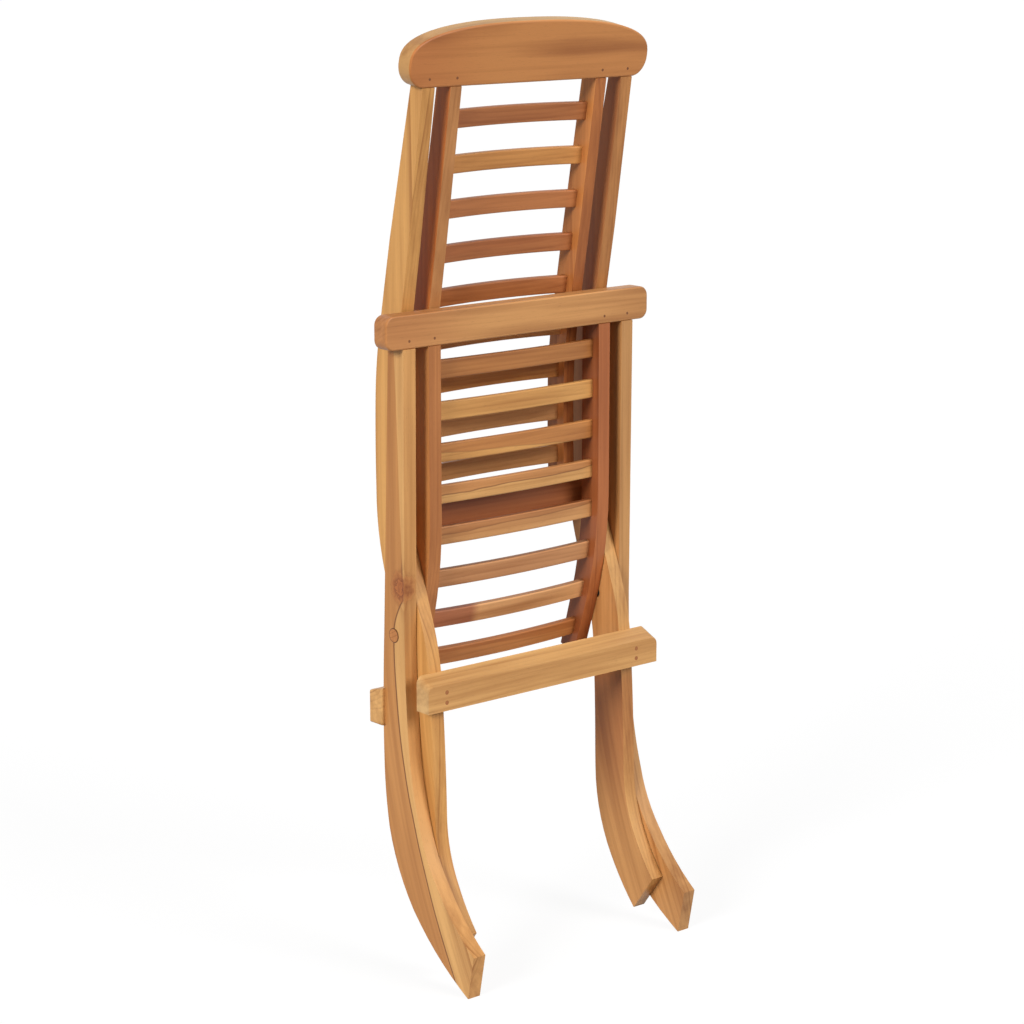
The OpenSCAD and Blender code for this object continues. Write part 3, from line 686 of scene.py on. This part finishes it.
def oil_group():
    tree = new_group("oiled_surface", "ShaderNodeTree", [
        ("Colour", "INPUT", "Color", None),
        ("Fibres", "INPUT", "Float", 0.0),
        ("Pores", "INPUT", "Float", 0.0),
        ("Colour", "OUTPUT", "Color", None),
        ("Roughness", "OUTPUT", "Float", None),
        ("Height", "OUTPUT", "Float", None)])
    entry = wire(tree, "NodeGroupInput").outputs
    fibres, pores = entry["Fibres"], entry["Pores"]
    lit = scaled(tree, calc(tree, "SUBTRACT", fibres, 0.5), FIBRE_CONTRAST, 0.5, clamp=True)
    lit = mix(tree, lit, FIBRE_DARK, FIBRE_PALE)
    colour = mix(tree, FIBRE_MIX, entry["Colour"], lit, "SOFT_LIGHT")
    colour = mix(tree, calc(tree, "MULTIPLY", pores, PORE_MIX), colour, PORE_BROWN)
    roughness = scaled(tree, fibres, FIBRE_ROUGHNESS, SHEEN_ROUGHNESS)
    height = scaled(tree, fibres, FIBRE_RISE, calc(tree, "MULTIPLY", pores, PORE_RISE))
    wire(tree, "NodeGroupOutput", {"Colour": colour, "Roughness": roughness, "Height": height})
    return tree


OIL = oil_group()
print("oil outputs:", labels(OIL, "OUTPUT"))


# %% [markdown]
# A board is described in the words of a joiner: its pale and dark wood, how strong its rings and
# clouds are, which way it runs, where its heartwood starts and whether it has a knot. The cell
# below turns the figure into the board's own colour. The knot and the dark joint round a plug
# are painted last, over everything else.

# %% A board's colour
PITH = (0.0, 0.05, 0.02)
SHIFT_PER_SEED = (1.7, 0.61, 0.37)
CLOUD_STRENGTH = 1.8
STREAK_STRENGTH = 1.4
MIDDLE_SHARE = 0.32
KNOT_DARK = seen(120, 58, 25)
KNOT_PALE = seen(178, 105, 54)
KNOT_MIX = 0.9
JOINT_BROWN = seen(84, 46, 20)
JOINT_WIDTHS = (0.0022, 0.0004)


def place_figure(tree, grain, shift, spacing, knot):
    inputs = {"Grain": grain, "Ring Spacing": spacing,
              "Pith": tuple(a + b for a, b in zip(PITH, shift))}
    if knot:
        place, size = knot
        inputs["Knot"] = tuple(a + b for a, b in zip(place, shift))
        inputs["Knot Size"] = size
    return place_group(tree, FIGURE, inputs)


def figured(tree, figure, colours, strength, clouds):
    clouds_share = calc(tree, "MULTIPLY", calc(tree, "SUBTRACT", figure["Clouds"], 0.5),
                        CLOUD_STRENGTH * clouds)
    streaks = calc(tree, "MULTIPLY", calc(tree, "SUBTRACT", figure["Streaks"], 0.5),
                   STREAK_STRENGTH)
    lines = scaled(tree, figure["Rings"], strength, streaks)
    share = calc(tree, "ADD", lines, calc(tree, "ADD", clouds_share, MIDDLE_SHARE), clamp=True)
    pale, dark = colours
    return mix(tree, share, pale, dark)


def knotted(tree, figure, colour):
    knot = mix(tree, figure["Knot Rings"], KNOT_DARK, KNOT_PALE)
    return mix(tree, calc(tree, "MULTIPLY", figure["Knot Mask"], KNOT_MIX), colour, knot)


def plug_joint(tree, colour, radius):
    place = wire(tree, "ShaderNodeTexCoord").outputs["Object"]
    out = stretch(tree, vector_calc(tree, "SUBTRACT", place, tuple(hinge)), (0.0, 1.0, 1.0))
    inner, outer = [radius - width for width in JOINT_WIDTHS]
    return mix(tree, smooth(tree, length(tree, out), inner, outer), colour, JOINT_BROWN)


print("board colour ready")

# %% [markdown]
# One call finishes one board. Everything that varies over the surface comes from the groups, and
# the numbers that are the same all over it are set on the shader itself.

# %% A board's material
OIL_SPECULAR = 0.35
BUMP = {"Strength": 0.2, "Distance": 0.0003}


def new_material(name):
    material = bpy.data.materials.new(name)
    material.use_nodes = True
    return material, material.node_tree, material.node_tree.nodes["Principled BSDF"]


def oiled_wood(name, colours, seed, upright=False, centre=hinge, strength=0.8, spacing=0.006,
               clouds=1.0, knot=None, heart=None, blush=None, edge=NO_TINT, joint_radius=None):
    material, tree, shader = new_material("wood_" + name)
    shift = tuple(seed * step for step in SHIFT_PER_SEED)
    space = place_group(tree, UPRIGHT_SPACE if upright else CROSS_SPACE,
                        {"Centre": tuple(centre), "Shift": shift})
    figure = place_figure(tree, space["Grain"], shift, spacing, knot)
    colour = figured(tree, figure, colours, strength, clouds)
    for group, looks in ((BLUSH, blush), (HEARTWOOD, heart)):
        if looks:
            inputs = {"Colour": colour, "Board": space["Board"], **looks}
            colour = place_group(tree, group, inputs)["Colour"]
    colour = place_group(tree, UPRIGHT_PAINTED_LIGHT if upright else CROSS_PAINTED_LIGHT,
                         {"Colour": colour, "Painted Face Light": edge})["Colour"]
    oiled = place_group(tree, OIL, {
        "Colour": colour, "Fibres": figure["Fibres"], "Pores": figure["Pores"]})
    colour = oiled["Colour"]
    if knot:
        colour = knotted(tree, figure, colour)
    if joint_radius:
        colour = plug_joint(tree, colour, joint_radius)
    tree.links.new(colour, shader.inputs["Base Color"])
    tree.links.new(oiled["Roughness"], shader.inputs["Roughness"])
    bump = wire(tree, "ShaderNodeBump", {"Height": oiled["Height"], **BUMP})
    tree.links.new(bump.outputs[0], shader.inputs["Normal"])
    shader.inputs["Specular IOR Level"].default_value = OIL_SPECULAR
    return material


def give_material(name, material):
    data = nodes[name].data
    data.materials.clear()
    data.materials.append(material)


def finish_board(name, colours, seed, **looks):
    if not looks.get("upright"):
        low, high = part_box(name)
        looks["centre"] = (low + high) / 2
    give_material(name, oiled_wood(name, colours, seed, **looks))


print("board finish ready")

# %% [markdown]
# The left seat leg is the board that the eye meets first. Its front is pale sapwood and the rest
# is orange heartwood. The dark line between them comes up from the foot, passes behind the
# wooden plug, swings to the front edge and ends in a knot.

# %% The left seat leg
LEG_HEART = {"Bend Below": -0.58, "Bend Above": -7.0, "Above At": -0.0235, "Above Slope": 0.044,
             "Wander": 0.003, "Tint": tint(0.80, 0.66, 0.57), "Soft": 0.001,
             "Line Strength": 1.0, "Line Width": 0.0013, "Line Top": 0.13}
LEG_KNOT = ((0.072, -0.013, -0.209), 0.018)
# the tint for its narrow front faces is painted shade: it darkens the front against the sides
finish_board("seat_leg_left", CREAM, 1, upright=True, heart=LEG_HEART, knot=LEG_KNOT,
             edge=tint(0.88, 0.80, 0.74))
print("left seat leg finished")

# %% [markdown]
# The other seven uprights run from gold to red brown, as in the photograph, because each leg
# and stile was sawn from another plank. Their fronts and sides also differ by painted light and
# shade: each has a tint for its front faces, and the sides of the left back stile and the right
# seat stile are painted darker and redder as shaded faces, with their fronts lifted back. The
# right back leg is red below the front stretcher and again at its top, and golden between.

# %% The other uprights
RED_LEG = {"Start": -0.38, "End": -0.18, "Clear Low": -0.13, "Clear High": 0.30,
           "Tint": tint(0.79, 0.64, 0.60)}
# the last colour of each upright tints its front faces: painted light and shade
UPRIGHTS = [
    ("seat_leg_right", HONEY, tint(0.93, 0.97, 1.0)),
    ("back_leg_left", GOLDEN, tint(0.97, 0.94, 0.90)),
    ("back_leg_right", HONEY, tint(1.08, 1.18, 1.11)),
    ("back_stile_left", tone(180, 102, 44), tint(0.92, 1.32, 2.20)),
    ("back_stile_right", tone(190, 122, 65), tint(0.70, 0.58, 0.51)),
    ("seat_stile_left", tone(192, 128, 72), tint(0.76, 0.68, 0.65)),
    ("seat_stile_right", tone(134, 73, 38), tint(1.50, 1.62, 1.60))]
for seed, (name, colours, edge) in enumerate(UPRIGHTS, start=2):
    finish_board(name, colours, seed, upright=True, edge=edge,
                 blush=RED_LEG if name == "back_leg_right" else None)
print("uprights finished:", len(UPRIGHTS) + 1)

# %% [markdown]
# The wide boards are the calmest: their rings are quiet and their colour is even. Only the crest
# and the seat rail turn a little redder towards their left end.

# %% The rails and stretchers
RED_END = {"Start": -0.05, "End": -0.22, "Tint": tint(0.90, 0.80, 0.78)}
# painted light: the crest's narrow faces, its top among them, are made paler
finish_board("crest_rail", AMBER, 9, spacing=0.016, strength=0.2, clouds=1.5, blush=RED_END,
             edge=tint(1.10, 1.60, 1.95))
finish_board("seat_front_rail", HONEY, 10, strength=0.4, blush=RED_END)
# painted light and shade: the front stretcher's narrow faces get a tint of their own
finish_board("front_stretcher", CREAM, 11, strength=0.3, edge=tint(0.93, 1.02, 1.18))
finish_board("rear_stretcher", CREAM, 12)
finish_board("back_bottom_rail", BROWN, 13, strength=0.4)
print("rails and stretchers finished")

# %% [markdown]
# Short pieces from many boards are used up in the slats, so these differ most. The back mixes
# russet slats with straw, sand and honey ones, and one of them turns to heartwood without a
# line. The last three back slats are painted paler than their wood: painted light, because they
# lie in shade behind the seat. In the seat, three slats show a heartwood line, the last turns to
# heartwood without one, and the seventh has a dark red corner. The tops of the fifth to seventh
# seat slats are painted darker, as painted shade. The numbers count from the top of the folded
# chair.

# %% The slats
SLAT_RINGS = 0.55
# painted light: the last three back slats are given paler tones for the shade behind the seat
BACK_SLATS = [RUSSET, STRAW, RUSSET, RUSSET, RUSSET, SAND, STRAW, SAND, HONEY]
SEAT_SLATS = [tone(168, 109, 57), GOLDEN, GOLDEN, CREAM, SAND, tone(186, 130, 84),
              tone(204, 148, 96), AMBER]
STRONG_HEART = tint(0.78, 0.64, 0.60)
WEAK_HEART = tint(0.84, 0.74, 0.70)
BACK_HEARTS = {
    4: {"At": 0.001, "Slope": 0.05, "Wander": 0.012, "Soft": 0.0015,
        "Tint": tint(0.86, 0.78, 0.74)}}
SEAT_HEARTS = {
    3: {"At": -0.007, "Slope": -0.05, "Wander": 0.012, "Tint": STRONG_HEART,
        "Line Strength": 0.3},
    4: {"At": 0.001, "Slope": 0.02, "Wander": 0.016, "Tint": STRONG_HEART,
        "Line Strength": 0.7},
    5: {"At": 0.004, "Slope": 0.03, "Wander": 0.016, "Tint": WEAK_HEART, "Line Strength": 0.5},
    8: {"At": 0.002, "Slope": -0.02, "Wander": 0.014, "Tint": WEAK_HEART}}
# painted shade: darker tops on the fifth to seventh seat slats
PAINTED_SHADE_TOPS = {5: tint(0.62, 0.50, 0.50), 6: tint(0.58, 0.60, 0.74), 7: tint(0.64, 0.60, 0.68)}
RED_CORNERS = {7: {"Start": -0.055, "End": -0.075, "Tint": tint(0.60, 0.42, 0.46)}}
for number, colours in enumerate(BACK_SLATS, start=1):
    finish_board("back_slat_%d" % number, colours, 20 + number, strength=SLAT_RINGS,
                 heart=BACK_HEARTS.get(number))
for number, colours in enumerate(SEAT_SLATS, start=1):
    finish_board("seat_slat_%d" % number, colours, 40 + number, strength=SLAT_RINGS,
                 heart=SEAT_HEARTS.get(number), blush=RED_CORNERS.get(number),
                 edge=PAINTED_SHADE_TOPS.get(number, NO_TINT))
print("slats finished:", len(BACK_SLATS) + len(SEAT_SLATS))

# %% [markdown]
# The plugs hide the heads of the hinge bolts, and a thin dark joint shows round each of them.
# The pegs show their end grain, which drinks more oil and is darker than the boards.

# %% The pegs and plugs
PLUG_RADIUS = 0.01075
finish_board("pivot_plugs", AMBER, 61, spacing=0.003, joint_radius=PLUG_RADIUS)
for name in ("crest_pins", "rail_pins", "back_rail_dowels"):
    finish_board(name, tone(112, 64, 32), 62, spacing=0.002)
print("wood materials:", len(bpy.data.materials))


# %% [markdown]
# The bolts, washers and nuts are zinc-plated steel gone dull outdoors. The screws in the
# stretchers have taken up the oil and the dust, so their heads are brown. Both have the same
# cloudy bloom, which changes the colour and the shine together.

# %% Metal
BLOOM_SCALE = 260.0
METAL_ROUGHNESS = 0.25
BLOOM_ROUGHNESS = 0.35
STEEL_PIECES = ("pivot_bolts", "pivot_spacer_washers", "pivot_nut_washers", "pivot_nuts")
SCREWS = ("front_stretcher_screws", "rear_stretcher_screws")


def bloom_group():
    tree = new_group("dull_bloom", "ShaderNodeTree", [
        ("Pale", "INPUT", "Color", None),
        ("Dark", "INPUT", "Color", None),
        ("Colour", "OUTPUT", "Color", None),
        ("Roughness", "OUTPUT", "Float", None)])
    entry = wire(tree, "NodeGroupInput").outputs
    place = wire(tree, "ShaderNodeTexCoord").outputs["Object"]
    bloom = noise(tree, place, BLOOM_SCALE, detail=4.0, roughness=0.65)
    wire(tree, "NodeGroupOutput", {
        "Colour": mix(tree, bloom, entry["Pale"], entry["Dark"]),
        "Roughness": scaled(tree, bloom, BLOOM_ROUGHNESS, METAL_ROUGHNESS)})
    return tree


BLOOM = bloom_group()


def dull_metal(name, pale, dark, metallic):
    material, tree, shader = new_material(name)
    bloom = place_group(tree, BLOOM, {"Pale": pale, "Dark": dark})
    tree.links.new(bloom["Colour"], shader.inputs["Base Color"])
    tree.links.new(bloom["Roughness"], shader.inputs["Roughness"])
    shader.inputs["Metallic"].default_value = metallic
    return material


STEEL = dull_metal("zinc_steel", seen(176, 175, 170), seen(134, 132, 127), metallic=0.9)
BRONZED = dull_metal("bronzed_screws", seen(176, 108, 56), seen(132, 78, 38), metallic=0.1)
for name in STEEL_PIECES:
    give_material(name, STEEL)
for name in SCREWS:
    give_material(name, BRONZED)
print("metal pieces:", len(STEEL_PIECES) + len(SCREWS))


# %% [markdown]
# The picture has a plain white ground. The floor is a large pale sheet that takes the chair's
# shadow. Where the camera looks at it, most of its brightness is its own, so that the ground
# stays white, but to the chair it is a dull grey that throws little light up.

# %% Floor
FLOOR_HALF = 150.0
FLOOR_OWN_LIGHT = 0.86
FLOOR_GLOW = 1.04
FLOOR_TO_CHAIR = (0.3, 0.3, 0.3, 1.0)
FLOOR_TO_CAMERA = (0.9, 0.9, 0.9, 1.0)
FLOOR_ROUGHNESS = 0.9
FLOOR_SPECULAR = 0.1
WHITE = (1.0, 1.0, 1.0, 1.0)


def straight_look(tree):
    path = wire(tree, "ShaderNodeLightPath").outputs
    mirrored = calc(tree, "MAXIMUM", path["Is Glossy Ray"], path["Is Transmission Ray"])
    return calc(tree, "MAXIMUM", path["Is Camera Ray"], mirrored)


def floor_material():
    material, tree, shader = new_material("pale_floor")
    look = straight_look(tree)
    tree.links.new(mix(tree, look, FLOOR_TO_CHAIR, FLOOR_TO_CAMERA), shader.inputs["Base Color"])
    shader.inputs["Roughness"].default_value = FLOOR_ROUGHNESS
    shader.inputs["Specular IOR Level"].default_value = FLOOR_SPECULAR
    glow = wire(tree, "ShaderNodeEmission", {"Color": WHITE, "Strength": FLOOR_GLOW})
    share = calc(tree, "MULTIPLY", look, FLOOR_OWN_LIGHT)
    both = wire(tree, "ShaderNodeMixShader", {0: share, 1: shader.outputs[0], 2: glow.outputs[0]})
    tree.links.new(both.outputs[0], tree.nodes["Material Output"].inputs["Surface"])
    return material


def add_floor():
    corners = [(x * FLOOR_HALF, y * FLOOR_HALF, 0) for x, y in ((-1, -1), (1, -1), (1, 1), (-1, 1))]
    mesh = bpy.data.meshes.new("floor")
    mesh.from_pydata(corners, [], [(0, 1, 2, 3)])
    mesh.materials.append(floor_material())
    floor = bpy.data.objects.new("floor", mesh)
    scene.collection.objects.link(floor)


add_floor()
print("floor ready")


# %% [markdown]
# The world behind the floor is white where the camera looks straight at it, or sees it in a
# mirror, and only a dim white room to the chair.

# %% World
ROOM_LIGHT = 0.21


def set_world():
    world = bpy.data.worlds.new("white room")
    world.use_nodes = True
    tree = world.node_tree
    strength = scaled(tree, straight_look(tree), 1.0 - ROOM_LIGHT, ROOM_LIGHT)
    background = tree.nodes["Background"]
    background.inputs["Color"].default_value = WHITE
    tree.links.new(strength, background.inputs["Strength"])
    scene.world = world


set_world()
print("world ready")


# %% [markdown]
# Two large lamps light what the photograph shows. The one at the left is stronger and gives the
# bright left sides, and the one in front, a little to the right, lights the fronts and throws
# the short shadow beside the front stretcher. A weak third lamp behind keeps the back readable,
# so low that the boards' tops don't catch it. The left and the back lamp give no glints, because
# from the opposite side they would mirror in tops and edges as white glare.
# The white room fills the rest, but leaves the gaps dark.

# %% Lights
def add_sun(name, toward, strength, spread, glint=True):
    data = bpy.data.lights.new(name, "SUN")
    data.energy = strength
    data.angle = math.radians(spread)
    lamp = bpy.data.objects.new(name, data)
    lamp.rotation_euler = Vector(toward).to_track_quat("Z", "Y").to_euler()
    lamp.visible_glossy = glint
    scene.collection.objects.link(lamp)


add_sun("left lamp", (-0.89, -0.20, 0.42), strength=2.7, spread=22.0, glint=False)
add_sun("front lamp", (0.26, -0.84, 0.48), strength=2.1, spread=28.0)
add_sun("back lamp", (0.42, 0.90, 0.06), strength=1.2, spread=20.0, glint=False)
print("lights:", [item.name for item in bpy.data.lights])


# %% [markdown]
# The last cell prints that the scene is finished.

# %% Finish
print("scene finished")
